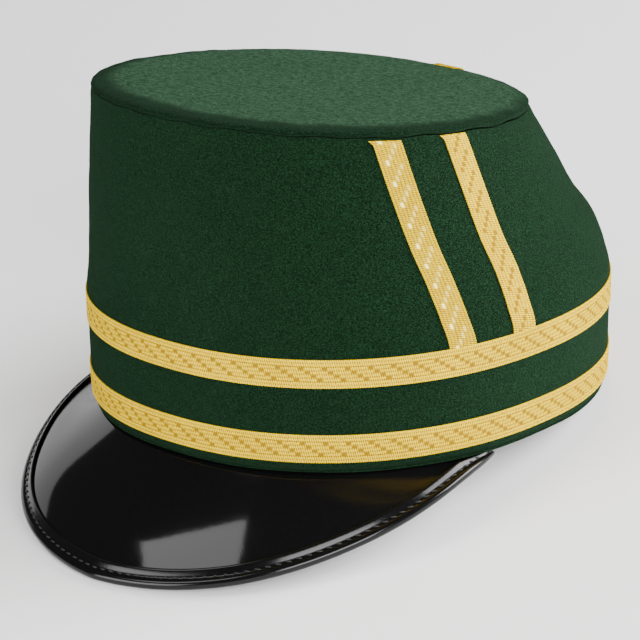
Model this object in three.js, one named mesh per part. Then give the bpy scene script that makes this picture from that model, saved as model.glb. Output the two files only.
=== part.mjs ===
// Hunting cap of dark felt with gold braid and a glossy black peak, sizes in millimetres.
// The cap's own frame has x to its front, y to the wearer's left and z up the crown, with z = 0 at the
// lower edge of the lower braid. The cap lies on a table on its rear rim and the front of its peak, so
// rest() leans that frame back: row X is the wearer's left, row -Y the front and row Z up from the table.
import * as THREE from 'three';

// Felt
const WALL = 2.5;
const GAP = 0.3;
const RIM_LEVEL = -4.6;
const SEAM_LEVEL = 113.7;
const AROUND = 68;

// Braid
const BRAID_WIDTH = 11.1;
const BRAID_THICK = 0.8;
const BRAID_BEVEL = 0.3;
const LOWER_BAND_FROM = 0;
const UPPER_BAND_FROM = 28.5;

// Peak
const PEAK_THICK = 1.6;
const PEAK_HALF_ANGLE = 79;
const PEAK_ARC_CENTRE = 40;
const PEAK_ARC_END = 103;
const PEAK_DROP = 0.331;
const PEAK_DROP_FROM = 39;
const PEAK_DROP_EASE = 6;
const PEAK_END_LEVEL = -6.3;
const PEAK_END_DIP = 0.75;
const PEAK_END_LIFT = 0.3;
const PEAK_END_TUCK = 1.2;
const PEAK_END_THIN = 0.6;
const PEAK_END_RUN = 8;
const FLANGE_HEIGHT = 7;
const FLANGE_GAP = 0.9;
const PEAK_ALONG = 44;
const PEAK_END_CROWD = 0.12;

// Binding folded over the edge of the peak
const BINDING_THICK = 0.8;
const BINDING_WIDTH = 6.2;
const BINDING_SHARE = 0.72;
const BINDING_END_THIN = 0.5;

// Pose on the table
const REST_TILT = 9.0;
const DEG = Math.PI / 180;

// One row per level of the felt, from the rim to the seam: height at the middle, rise toward the front for
// each millimetre, reach to the front and to the rear, half width, and roundness where 2 is an ellipse.
const SECTIONS = [
  { z: -4.6, rise: 0, front: 98.4, rear: 101.4, side: 88.3, round: 2.18 },
  { z: 0, rise: 0, front: 100, rear: 102.6, side: 89.6, round: 2.18 },
  { z: 40, rise: 0, front: 102, rear: 102.4, side: 91.1, round: 2.16 },
  { z: 50, rise: 0.014, front: 102.8, rear: 101.6, side: 88.5, round: 2.15 },
  { z: 60, rise: 0.028, front: 103.9, rear: 98.3, side: 86.0, round: 2.14 },
  { z: 75, rise: 0.048, front: 104.6, rear: 86.5, side: 82.8, round: 2.13 },
  { z: 92, rise: 0.072, front: 105.0, rear: 76.0, side: 79.4, round: 2.13 },
  { z: 113.7, rise: 0.102, front: 104.2, rear: 60.2, side: 75.6, round: 2.13 },
];

// Levels at which the felt wall is drawn, from the rounded rim up to the seam.
const OUTER_LEVELS = [-3.35, 0, 11.1, 28.5, 39.6, 44, 49, 55, 61, 67, 74, 82, 91, 101, 113.55];
const INNER_LEVELS = [113.55, 100, 84, 70, 60, 50, 40, 4, 0, -3.35];
const RIM_TURNS = [30, 60, 90, 120, 150];

// The top piece from its middle, over the turned edge, down to the seam and back inside: share of the way
// in from the edge to the middle, further distance in, and height above the seam.
const TOP_ROWS = [
  { share: 0.7, inward: 0, up: 3.3 },
  { share: 0.35, inward: 0, up: 3.25 },
  { share: 0, inward: 7.5, up: 3.2 },
  { share: 0, inward: 4.2, up: 2.95 },
  { share: 0, inward: 1.8, up: 2.4 },
  { share: 0, inward: 0.4, up: 1.7 },
  { share: 0, inward: -0.2, up: 0.9 },
  { share: 0, inward: 0.1, up: 0.15 },
  { share: 0, inward: 2.3, up: 0.15 },
  { share: 0, inward: 2.8, up: 0.4 },
  { share: 0, inward: 4.2, up: 0.6 },
  { share: 0.35, inward: 0, up: 0.75 },
  { share: 0.7, inward: 0, up: 0.8 },
];
const TOP_MIDDLE = { upper: 3.3, lower: 0.8 };

// Outer edge of the peak seen from above: turn from the front about PEAK_ARC_CENTRE, and reach.
const PEAK_ARC = [
  { turn: 0, reach: 99.9 },
  { turn: 30, reach: 97.2 },
  { turn: 60, reach: 92.6 },
  { turn: 85, reach: 90.4 },
  { turn: 103, reach: 89.3 },
];

// Stripes: turn from the front where each leaves the upper band and where it meets the seam.
const STRIPES = [
  { name: 'stripe_left_front', foot: 69.8, head: 63.7 },
  { name: 'stripe_left_rear', foot: 85.6, head: 84.2 },
  { name: 'stripe_right_front', foot: -69.8, head: -63.7 },
  { name: 'stripe_right_rear', foot: -85.6, head: -84.2 },
  { name: 'stripe_back', foot: 180, head: 180 },
];
const STRIPE_ALONG = 16;
const STRIPE_ACROSS = 4;

const FELT = { color: 0x16271f, roughness: 0.95, metalness: 0 };
const GOLD = { color: 0xb08a3c, roughness: 0.5, metalness: 0.6 };
const PATENT = { color: 0x0b0b0c, roughness: 0.12, metalness: 0 };

const signedPower = (value, power) => Math.sign(value) * Math.abs(value) ** power;

// Smooth run through a table with no overshoot between its rows.
function tableValue(table, along, key, at) {
  const last = table.length - 1;
  const slopes = table.slice(0, last).map((row, i) => (table[i + 1][key] - row[key]) / (table[i + 1][along] - row[along]));
  const tangent = (i) => {
    if (i === 0) return slopes[0];
    if (i === last) return slopes[last - 1];
    const [before, after] = [slopes[i - 1], slopes[i]];
    return before * after <= 0 ? 0 : (2 * before * after) / (before + after);
  };
  let k = 0;
  while (k < last - 1 && at > table[k + 1][along]) k += 1;
  const span = table[k + 1][along] - table[k][along];
  const u = (at - table[k][along]) / span;
  const [a, b] = [table[k][key], table[k + 1][key]];
  const [ta, tb] = [tangent(k) * span, tangent(k + 1) * span];
  return a + ta * u + (3 * (b - a) - 2 * ta - tb) * u * u + (2 * (a - b) + ta + tb) * u * u * u;
}

// A point of the felt's outer face at an angle from the front and a level.
function feltFace(angle, level) {
  const row = (key) => tableValue(SECTIONS, 'z', key, level);
  const reach = (row('front') + row('rear')) / 2;
  const middle = (row('front') - row('rear')) / 2;
  const power = 2 / row('round');
  const x = reach * signedPower(Math.cos(angle), power);
  const y = row('side') * signedPower(Math.sin(angle), power);
  return new THREE.Vector3(middle + x, y, level + row('rise') * x);
}

// Outward direction of the felt's face.
function feltNormal(angle, level) {
  const step = 0.02;
  const low = Math.max(RIM_LEVEL, Math.min(level, SEAM_LEVEL) - 0.5);
  const high = Math.min(SEAM_LEVEL, level + 0.5);
  const around = feltFace(angle + step, level).sub(feltFace(angle - step, level));
  const upward = feltFace(angle, high).sub(feltFace(angle, low));
  return around.cross(upward).normalize();
}

// A point at a distance off the felt's outer face, inward when the distance is negative.
const offFelt = (angle, level, off) => feltFace(angle, level).addScaledVector(feltNormal(angle, level), off);

// Lean the cap back onto the table.
function rest(p) {
  const [c, s] = [Math.cos(REST_TILT * DEG), Math.sin(REST_TILT * DEG)];
  return new THREE.Vector3(p.y, -(p.x * c - p.z * s), p.x * s + p.z * c);
}

// Triangles between neighbouring rows of points.
function stitch(faces, rows, closeRows, closeColumns) {
  const [m, n] = [rows.length, rows[0].length];
  for (let i = 0; i < (closeRows ? m : m - 1); i += 1) {
    for (let j = 0; j < (closeColumns ? n : n - 1); j += 1) {
      const [a, b] = [rows[i][j], rows[i][(j + 1) % n]];
      const [c, d] = [rows[(i + 1) % m][(j + 1) % n], rows[(i + 1) % m][j]];
      faces.push([a, b, c], [a, c, d]);
    }
  }
}

// Closed geometry from triangles of points, turned so that it faces out.
function solid(faces) {
  const volume = faces.reduce((sum, [a, b, c]) => sum + a.dot(b.clone().cross(c)), 0);
  const ordered = volume < 0 ? faces.map(([a, b, c]) => [a, c, b]) : faces;
  const geometry = new THREE.BufferGeometry().setFromPoints(ordered.flat());
  geometry.computeVertexNormals();
  return geometry;
}

// A ring-shaped body: rings of points that close around the cap and around their section.
function ringBody(rings) {
  const faces = [];
  stitch(faces, rings, true, true);
  return solid(faces);
}

// A bowl-shaped body: rings from an upper middle point to a lower one.
function bowlBody(rings, upper, lower) {
  const faces = [];
  stitch(faces, rings, false, true);
  const [first, last] = [rings[0], rings[rings.length - 1]];
  first.forEach((p, j) => faces.push([upper, first[(j + 1) % first.length], p]));
  last.forEach((p, j) => faces.push([lower, p, last[(j + 1) % last.length]]));
  return solid(faces);
}

// A sheet-shaped body between two grids of points.
function sheetBody(upper, lower) {
  const faces = [];
  stitch(faces, upper, false, false);
  stitch(faces, lower.map((row) => [...row].reverse()), false, false);
  const border = (grid) => [
    ...grid[0],
    ...grid.slice(1).map((row) => row[row.length - 1]),
    ...[...grid[grid.length - 1]].reverse().slice(1),
    ...grid.slice(1, -1).map((row) => row[0]).reverse(),
  ];
  stitch(faces, [border(lower), border(upper)], false, true);
  return solid(faces);
}

const angles = Array.from({ length: AROUND }, (_, i) => (i / AROUND) * 2 * Math.PI);
const ring = (place) => angles.map(place);
const spread = (from, to, count) => Array.from({ length: count + 1 }, (_, i) => from + ((to - from) * i) / count);

// Crown side: a felt wall with a rounded rim.
function crownSide() {
  const outer = OUTER_LEVELS.map((level) => ring((a) => offFelt(a, level, 0)));
  const inner = INNER_LEVELS.map((level) => ring((a) => offFelt(a, level, -WALL)));
  const half = WALL / 2;
  const rim = RIM_TURNS.map((turn) => {
    const [off, drop] = [-half - half * Math.cos(turn * DEG), half * Math.sin(turn * DEG)];
    return ring((a) => offFelt(a, RIM_LEVEL + half, off).add(new THREE.Vector3(0, 0, -drop)));
  });
  return [...outer, ...inner, ...rim];
}

// Crown top: a felt disc with its edge turned down to the seam.
function crownTop() {
  const middle = feltFace(0, SEAM_LEVEL).add(feltFace(Math.PI, SEAM_LEVEL)).multiplyScalar(0.5);
  const front = feltFace(0, SEAM_LEVEL).sub(middle).normalize();
  const upward = front.clone().cross(new THREE.Vector3(0, 1, 0)).normalize();
  const rings = TOP_ROWS.map(({ share, inward, up }) => ring((a) => {
    const edge = feltFace(a, SEAM_LEVEL);
    const toMiddle = middle.clone().sub(edge);
    const length = toMiddle.length();
    return edge.addScaledVector(toMiddle, share + inward / length).addScaledVector(upward, up);
  }));
  const at = (up) => middle.clone().addScaledVector(upward, up);
  return { rings, upper: at(TOP_MIDDLE.upper), lower: at(TOP_MIDDLE.lower) };
}

// Band of braid laid round the felt.
function band(from) {
  const [near, far] = [GAP, GAP + BRAID_THICK];
  const to = from + BRAID_WIDTH;
  const section = [
    [from, near], [from, far - BRAID_BEVEL], [from + BRAID_BEVEL, far],
    [to - BRAID_BEVEL, far], [to, far - BRAID_BEVEL], [to, near],
  ];
  return section.map(([level, off]) => ring((a) => offFelt(a, level, off)));
}

// Stripe of braid from the upper band to the seam.
function stripe({ foot, head }) {
  const levels = spread(UPPER_BAND_FROM + BRAID_WIDTH + GAP, SEAM_LEVEL - 0.2, STRIPE_ALONG);
  const bottom = levels[0];
  const centre = (level) => DEG * (foot + ((head - foot) * (level - bottom)) / (SEAM_LEVEL - bottom));
  const grid = (off) => levels.map((level) => {
    const a = centre(level);
    const perRadian = feltFace(a + 0.05, level).sub(feltFace(a - 0.05, level)).length() / 0.1;
    return spread(-BRAID_WIDTH / 2, BRAID_WIDTH / 2, STRIPE_ACROSS).map((w) => offFelt(a + w / perRadian, level, off));
  });
  return [grid(GAP + BRAID_THICK), grid(GAP)];
}

// How far the peak has run out at a share of its half span: 0 along most of it and 1 at its ends, where it
// draws in under the rim and grows thin.
const peakRunOut = (share) => Math.abs(share) ** PEAK_END_RUN;
const peakThin = (share, most) => 1 - most * peakRunOut(share);

// Outer edge of the peak at a share of its half span, from -1 to 1.
function peakEdge(share) {
  const turn = Math.abs(share) * PEAK_ARC_END;
  const reach = tableValue(PEAK_ARC, 'turn', 'reach', turn) - PEAK_END_TUCK * peakRunOut(share);
  const x = PEAK_ARC_CENTRE + reach * Math.cos(turn * DEG);
  const y = Math.sign(share) * reach * Math.sin(turn * DEG);
  const fall = PEAK_DROP_EASE * Math.log1p(Math.exp((x - PEAK_DROP_FROM) / PEAK_DROP_EASE));
  return new THREE.Vector3(x, y, PEAK_END_LEVEL + PEAK_END_LIFT * peakRunOut(share) - PEAK_DROP * fall);
}

// Where the peak passes below the felt rim: below its middle, or further in at the ends.
function peakRoot(share) {
  const angle = share * PEAK_HALF_ANGLE * DEG;
  const dip = PEAK_END_DIP * Math.abs(share) ** 6;
  const root = offFelt(angle, RIM_LEVEL + WALL / 2, -WALL / 2 - PEAK_END_TUCK * peakRunOut(share));
  root.z = RIM_LEVEL - GAP - (PEAK_THICK / 2) * peakThin(share, PEAK_END_THIN) - dip;
  return root;
}

// Line across the peak at a share of its half span, with its direction inward and its upper side.
function peakLine(share) {
  const [edge, root] = [peakEdge(share), peakRoot(share)];
  const inward = root.clone().sub(edge);
  const length = inward.length();
  inward.divideScalar(length);
  const along = peakEdge(Math.min(share + 0.02, 1)).sub(peakEdge(Math.max(share - 0.02, -1)));
  return { edge, root, inward, length, normal: along.cross(inward).normalize() };
}

// Section of one side of the peak's sheet, 1 for the upper and -1 for the lower: a straight run from the
// outer edge to the rim, then a turned-up flange inside the felt.
function peakSection(share, side) {
  const off = side * (PEAK_THICK / 2) * peakThin(share, PEAK_END_THIN);
  const angle = share * PEAK_HALF_ANGLE * DEG;
  const { edge, root, normal } = peakLine(share);
  const run = [0, 0.25, 0.5, 0.75, 1].map((u) => edge.clone().lerp(root, u).addScaledVector(normal, off));
  const inside = -WALL - FLANGE_GAP - PEAK_THICK / 2;
  const flange = (level) => offFelt(angle, Math.max(level, RIM_LEVEL + WALL / 2), inside + off).setZ(level);
  return [...run, flange(root.z + off), flange(RIM_LEVEL + FLANGE_HEIGHT)];
}

const peakShares = spread(-1, 1, PEAK_ALONG).map((u) => u + PEAK_END_CROWD * Math.sin(Math.PI * u));

function peak() {
  const grid = (side) => peakShares.map((share) => peakSection(share, side));
  return [grid(1), grid(-1)];
}

// Binding: a strip folded over the peak's outer edge, narrower where the peak runs out.
function binding() {
  const fold = [90, 54, 18, -18, -54, -90];
  const grid = (layers) => peakShares.map((share) => {
    const { edge, inward, length, normal } = peakLine(share);
    const off = GAP + (PEAK_THICK / 2 + layers * BINDING_THICK) * peakThin(share, BINDING_END_THIN);
    const width = Math.min(BINDING_WIDTH, length * BINDING_SHARE);
    const at = (s, n) => edge.clone().addScaledVector(inward, s).addScaledVector(normal, n);
    const round = fold.map((turn) => at(-off * Math.cos(turn * DEG), off * Math.sin(turn * DEG)));
    return [at(width, off), ...round, at(width, -off)];
  });
  return [grid(1), grid(0)];
}

const toRest = (rows) => rows.map((row) => row.map(rest));
const bodies = {};
const finishes = {};
const add = (name, finish, rows) => {
  bodies[name] = rows;
  finishes[name] = finish;
};

add('crown_side', FELT, toRest(crownSide()));
const top = crownTop();
add('crown_top', FELT, toRest(top.rings));
const topMiddles = [rest(top.upper), rest(top.lower)];
add('band_lower', GOLD, toRest(band(LOWER_BAND_FROM)));
add('band_upper', GOLD, toRest(band(UPPER_BAND_FROM)));
STRIPES.forEach((row) => add(row.name, GOLD, stripe(row).map(toRest)));
add('peak', PATENT, peak().map(toRest));
add('peak_binding', PATENT, binding().map(toRest));

// Stand the cap on the table, its middle over the origin, and flatten the felt rim where it lies.
const points = [...Object.values(bodies).flat(3), ...topMiddles];
const box = new THREE.Box3().setFromPoints(points);
const floor = Math.min(...bodies.peak_binding.flat(2).map((p) => p.z));
const shift = new THREE.Vector3(0, -(box.min.y + box.max.y) / 2, -floor);
points.forEach((p) => p.add(shift));
bodies.crown_side.flat().forEach((p) => p.setZ(Math.max(p.z, 0)));

const cap = new THREE.Group();
cap.name = 'hunting_cap';
Object.entries(bodies).forEach(([name, rows]) => {
  let geometry;
  if (name === 'crown_top') geometry = bowlBody(rows, topMiddles[0], topMiddles[1]);
  else if (rows[0][0].isVector3) geometry = ringBody(rows);
  else geometry = sheetBody(rows[0], rows[1]);
  const mesh = new THREE.Mesh(geometry, new THREE.MeshStandardMaterial(finishes[name]));
  mesh.name = name;
  cap.add(mesh);
});

export default cap;
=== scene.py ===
"""Hunting cap of dark green felt with gold braid and a glossy black peak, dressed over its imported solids.

Shapes are worked out in the cap's own frame, in millimetres: x runs to the front, y to the wearer's left
and z up the crown from the lower edge of the lower braid. CapFrame leans that frame back onto the floor.
"""

import logging
import math
from dataclasses import dataclass
from enum import Enum

import bpy
import numpy as np
from mathutils import Matrix, Vector

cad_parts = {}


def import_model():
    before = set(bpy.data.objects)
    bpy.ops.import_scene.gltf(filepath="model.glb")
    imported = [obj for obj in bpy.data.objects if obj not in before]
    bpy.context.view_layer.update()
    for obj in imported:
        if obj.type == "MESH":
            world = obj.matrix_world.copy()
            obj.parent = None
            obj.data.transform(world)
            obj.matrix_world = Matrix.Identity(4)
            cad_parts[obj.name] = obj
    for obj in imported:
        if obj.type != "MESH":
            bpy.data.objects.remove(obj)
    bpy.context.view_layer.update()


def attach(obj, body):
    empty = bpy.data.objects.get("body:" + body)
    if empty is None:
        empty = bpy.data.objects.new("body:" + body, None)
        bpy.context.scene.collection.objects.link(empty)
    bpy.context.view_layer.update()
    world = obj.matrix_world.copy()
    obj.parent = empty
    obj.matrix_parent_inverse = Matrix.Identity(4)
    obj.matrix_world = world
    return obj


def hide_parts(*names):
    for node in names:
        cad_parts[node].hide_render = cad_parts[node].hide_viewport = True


Array = np.ndarray
Colour = tuple[float, float, float]
Settings = dict[str, object]
Inputs = dict[int | str, object]

MM = 0.001
FULL_TURN = 2 * math.pi
# Keeps a point's place in plan and drops its height.
IN_PLAN = np.array([1.0, 1.0, 0.0])
# Shortest and longest pitch in one sum of waves, as shares of the pitch asked for.
WAVE_PITCHES = (0.7, 1.5)
# Mean of a noise pattern.
NOISE_MIDDLE = 0.5
# Socket numbers of a Mix node that mixes colours.
MIX_SHARE = 0
MIX_LOW = 6
MIX_HIGH = 7
MIX_COLOUR = 2
# Faces of a needle on three sides: its foot, then its sides up to the tip.
NEEDLE_SIDES = 3
NEEDLE_FACES = np.array([[0, 2, 1], [0, 1, 3], [1, 2, 3], [2, 0, 3]])
BODY = "root"
LOG = logging.getLogger("hunting_cap")


class Slot(Enum):
    """The record's material slots."""

    FELT = "felt"
    BRAID = "braid"
    PATENT = "patent"


def smooth_run(knots: Array, values: Array, at: Array) -> Array:
    """Runs smoothly through a table with no overshoot between its rows.

    Between two rows it is the cubic whose end slopes are the harmonic means of the slopes that meet there.

    Args:
        knots: rising places of the rows.
        values: value of each row.
        at: places to read.

    Returns:
        The values at those places.
    """
    slopes = np.diff(values) / np.diff(knots)
    product = slopes[:-1] * slopes[1:]
    total = slopes[:-1] + slopes[1:]
    inner = np.where(product > 0, 2 * product / np.where(total == 0, 1, total), 0)
    tangents = np.concatenate([slopes[:1], inner, slopes[-1:]])
    k = np.clip(np.searchsorted(knots, at) - 1, 0, len(knots) - 2)
    span = knots[k + 1] - knots[k]
    u = (at - knots[k]) / span
    low = values[k]
    high = values[k + 1]
    leave = tangents[k] * span
    arrive = tangents[k + 1] * span
    square = 3 * (high - low) - 2 * leave - arrive
    cube = 2 * (low - high) + leave + arrive
    return low + leave * u + square * u**2 + cube * u**3


def ease(value: Array, start: float, end: float) -> Array:
    """Goes smoothly from 0 at start to 1 at end."""
    u = np.clip((value - start) / (end - start), 0, 1)
    return u * u * (3 - 2 * u)


def unit(vectors: Array) -> Array:
    """Scales vectors on the last axis to length one."""
    return vectors / np.linalg.norm(vectors, axis=-1, keepdims=True)


def uneven(points: Array, pitch: float, seed: int, waves: int = 14) -> Array:
    """Gives a soft unevenness over points: a sum of sine waves in seeded directions.

    Args:
        points: places in millimetres, with three numbers on the last axis.
        pitch: rough distance from one hill to the next, in millimetres.
        seed: start of the random directions.
        waves: number of waves in the sum.

    Returns:
        Values that mostly lie between -1 and 1.
    """
    rng = np.random.default_rng(seed)
    directions = unit(rng.normal(size=(waves, 3)))
    pitches = pitch * rng.uniform(*WAVE_PITCHES, size=waves)
    phases = rng.uniform(0, FULL_TURN, size=waves)
    turns = points @ (directions / pitches[:, None]).T * FULL_TURN + phases
    return np.sin(turns).sum(axis=-1) / math.sqrt(waves)


def lengths_along(line: Array) -> Array:
    """Gives the distance along a line of points from its start to each of them."""
    return np.concatenate([[0.0], np.cumsum(np.linalg.norm(np.diff(line, axis=0), axis=-1))])


def quads(index: Array) -> Array:
    """Gives the four-sided faces between the rows and columns of a grid of point numbers."""
    corners = [index[:-1, :-1], index[:-1, 1:], index[1:, 1:], index[1:, :-1]]
    return np.stack(corners, axis=-1).reshape(-1, 4)


@dataclass(frozen=True)
class CapFrame:
    """The lean of the cap on the floor, as in its solids."""

    tilt_deg: float = 9.0
    to_rear: float = 18.603
    lift: float = 19.213

    def place(self, points: Array) -> Array:
        """Turns points of the cap's own frame, in millimetres, into the row frame, in metres.

        Args:
            points: places with three numbers on the last axis.

        Returns:
            The same places leaned back by the tilt and stood on the floor.
        """
        tilt = math.radians(self.tilt_deg)
        x, y, z = points[..., 0], points[..., 1], points[..., 2]
        back = -(x * math.cos(tilt) - z * math.sin(tilt)) + self.to_rear
        up = x * math.sin(tilt) + z * math.cos(tilt) + self.lift
        return np.stack([y, back, up], axis=-1) * MM


@dataclass(frozen=True)
class FeltForm:
    """The felt's outer face: an oval at each level, from a table with a row for each level."""

    level: tuple[float, ...] = (-4.6, 0, 40, 50, 60, 75, 92, 113.7)
    rise: tuple[float, ...] = (0, 0, 0, 0.014, 0.028, 0.048, 0.072, 0.102)
    front: tuple[float, ...] = (98.4, 100, 102, 102.8, 103.9, 104.6, 105.0, 104.2)
    rear: tuple[float, ...] = (101.4, 102.6, 102.4, 101.6, 98.3, 86.5, 76.0, 60.2)
    side: tuple[float, ...] = (88.3, 89.6, 91.1, 88.5, 86.0, 82.8, 79.4, 75.6)
    roundness: tuple[float, ...] = (2.18, 2.18, 2.16, 2.15, 2.14, 2.13, 2.13, 2.13)
    wall: float = 2.5
    turn_step: float = 0.02
    level_step: float = 0.5

    @property
    def rim(self) -> float:
        """Level of the lowest felt."""
        return self.level[0]

    @property
    def seam(self) -> float:
        """Level of the seam between the wall and the top."""
        return self.level[-1]

    def _row(self, column: tuple[float, ...], level: Array) -> Array:
        """Reads one column of the table at levels."""
        return smooth_run(np.array(self.level, float), np.array(column, float), level)

    def face(self, turn: Array, level: Array) -> Array:
        """Gives points of the outer face.

        Each level is a rounded oval, |x / reach| ** n + |y / side| ** n = 1 with n the roundness, moved so
        that it reaches the front and rear values, and raised toward the front by rise for each millimetre.

        Args:
            turn: angle from the front toward the wearer's left, in radians.
            level: height at the oval's middle, in millimetres.

        Returns:
            Points with three numbers on the last axis.
        """
        turn, level = np.broadcast_arrays(turn, level)
        front = self._row(self.front, level)
        rear = self._row(self.rear, level)
        power = 2 / self._row(self.roundness, level)
        x = (front + rear) / 2 * np.sign(np.cos(turn)) * np.abs(np.cos(turn)) ** power
        y = self._row(self.side, level) * np.sign(np.sin(turn)) * np.abs(np.sin(turn)) ** power
        return np.stack([(front - rear) / 2 + x, y, level + self._row(self.rise, level) * x], axis=-1)

    def normal(self, turn: Array, level: Array) -> Array:
        """Gives the outward direction of the face, from points a small step away on both sides.

        Args:
            turn: angle from the front toward the wearer's left, in radians.
            level: height at the oval's middle, in millimetres.

        Returns:
            Unit vectors on the last axis.
        """
        turn, level = np.broadcast_arrays(turn, level)
        high = np.minimum(level + self.level_step, self.seam)
        low = np.maximum(level - self.level_step, self.rim)
        around = self.face(turn + self.turn_step, level) - self.face(turn - self.turn_step, level)
        return unit(np.cross(around, self.face(turn, high) - self.face(turn, low)))

    def off(self, turn: Array, level: Array, distance: Array | float) -> Array:
        """Gives points at a distance off the outer face, inside it when the distance is negative."""
        distance = np.asarray(distance, float)
        return self.face(turn, level) + self.normal(turn, level) * distance[..., None]

    def top_frame(self) -> tuple[Array, Array]:
        """Gives the frame of the seam's oval.

        Returns:
            The oval's middle and the upward direction square to it.
        """
        ends = self.face(np.array([0.0, math.pi]), np.array([self.seam, self.seam]))
        forward = unit(ends[0] - ends[1])
        return ends.mean(axis=0), np.cross(forward, np.array([0.0, 1.0, 0.0]))


class Shell:
    """Collects grids of points and the faces between them, then makes one mesh object."""

    def __init__(self, frame: CapFrame) -> None:
        """Starts an empty shell.

        Args:
            frame: the frame that its points are given in.
        """
        self._frame = frame
        self._points: list[Array] = []
        self._faces: list[Array] = []
        self._polygons: list[list[int]] = []
        self._count = 0

    def grid(self, points: Array, close_rows: bool = False, close_columns: bool = False) -> Array:
        """Adds a grid of points and the faces between its rows.

        Args:
            points: rows of columns of places, in millimetres.
            close_rows: whether the last row joins the first.
            close_columns: whether the last column joins the first.

        Returns:
            The point numbers, laid out as the grid is.
        """
        rows, columns = points.shape[:2]
        index = self._count + np.arange(rows * columns).reshape(rows, columns)
        self._points.append(points.reshape(-1, 3))
        self._count += rows * columns
        looped = np.concatenate([index, index[:1]]) if close_rows else index
        looped = np.concatenate([looped, looped[:, :1]], axis=1) if close_columns else looped
        self._faces.append(quads(looped))
        return index

    def join(self, first: Array, second: Array, close: bool = False) -> None:
        """Adds the faces between two lines of points.

        Args:
            first: point numbers of one line.
            second: point numbers of the other.
            close: whether the ends of both lines join into loops.
        """
        lines = np.stack([first, second])
        self._faces.append(quads(np.concatenate([lines, lines[:, :1]], axis=1) if close else lines))

    def cap(self, loop: Array) -> None:
        """Closes a loop of point numbers with one polygon."""
        self._polygons.append([int(number) for number in loop])

    def facets(self, points: Array, corners: Array) -> None:
        """Adds copies of a small body.

        Args:
            points: places, copy by copy.
            corners: point numbers of one copy's faces, all with three sides or all with four.
        """
        copies, size = points.shape[:2]
        starts = self._count + np.arange(copies) * size
        self._points.append(points.reshape(-1, 3))
        self._count += copies * size
        self._faces.append((starts[:, None, None] + corners[None]).reshape(-1, corners.shape[1]))

    def _volume(self, points: Array, faces: Array) -> float:
        """Gives six times the volume between the origin and a block of faces.

        Args:
            points: places of all points.
            faces: point numbers of the block's faces.

        Returns:
            A number below zero where the faces face in.
        """
        corners = [points[faces[:, corner]] for corner in range(faces.shape[1])]
        spans = sum(np.cross(one, other) for one, other in zip(corners[1:], corners[2:]))
        return float(np.einsum("ij,ij->", corners[0], spans))

    def build(self, name: str, values: dict[str, Array] | None = None) -> bpy.types.Object:
        """Makes the mesh object, smooth and facing outward.

        Args:
            name: name of the object and its mesh.
            values: number for each point, by attribute name.

        Returns:
            The new object, linked into the scene at the origin.
        """
        points = self._frame.place(np.concatenate(self._points))
        volume = sum(self._volume(points, faces) for faces in self._faces)
        faces = [face for block in self._faces for face in block.tolist()] + self._polygons
        mesh = bpy.data.meshes.new(name)
        mesh.from_pydata(points.tolist(), [], faces if volume > 0 else [face[::-1] for face in faces])
        mesh.polygons.foreach_set("use_smooth", np.ones(len(mesh.polygons), bool))
        for label, numbers in (values or {}).items():
            attribute = mesh.attributes.new(label, "FLOAT", "POINT")
            attribute.data.foreach_set("value", numbers.astype(np.float32).ravel())
        mesh.validate()
        piece = bpy.data.objects.new(name, mesh)
        bpy.context.scene.collection.objects.link(piece)
        return piece


class Sock:
    """A shader value whose operators add Math nodes to its book."""

    def __init__(self, book: "NodeBook", socket: bpy.types.NodeSocket) -> None:
        """Wraps an output socket of a node book."""
        self.book = book
        self.socket = socket

    def _math(self, operation: str, first: object, second: object) -> "Sock":
        """Adds one Math node."""
        return self.book.node("ShaderNodeMath", {"operation": operation}, {0: first, 1: second})

    def __add__(self, other: object) -> "Sock":
        """Adds."""
        return self._math("ADD", self, other)

    def __radd__(self, other: object) -> "Sock":
        """Adds, from the right."""
        return self._math("ADD", other, self)

    def __sub__(self, other: object) -> "Sock":
        """Takes away."""
        return self._math("SUBTRACT", self, other)

    def __rsub__(self, other: object) -> "Sock":
        """Takes this away from another."""
        return self._math("SUBTRACT", other, self)

    def __mul__(self, other: object) -> "Sock":
        """Multiplies."""
        return self._math("MULTIPLY", self, other)

    def __rmul__(self, other: object) -> "Sock":
        """Multiplies, from the right."""
        return self._math("MULTIPLY", other, self)

    def ripple(self) -> "Sock":
        """Gives rounded ridges, one for each whole step of the value: the sine's absolute value."""
        wave = self._math("SINE", self * math.pi, 0.0)
        return self._math("ABSOLUTE", wave, 0.0)


@dataclass(frozen=True)
class Grain:
    """A noise pattern: its hills for each metre, its layers of finer hills and how strong those are."""

    scale: float
    detail: float = 2.0
    roughness: float = 0.55


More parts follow.
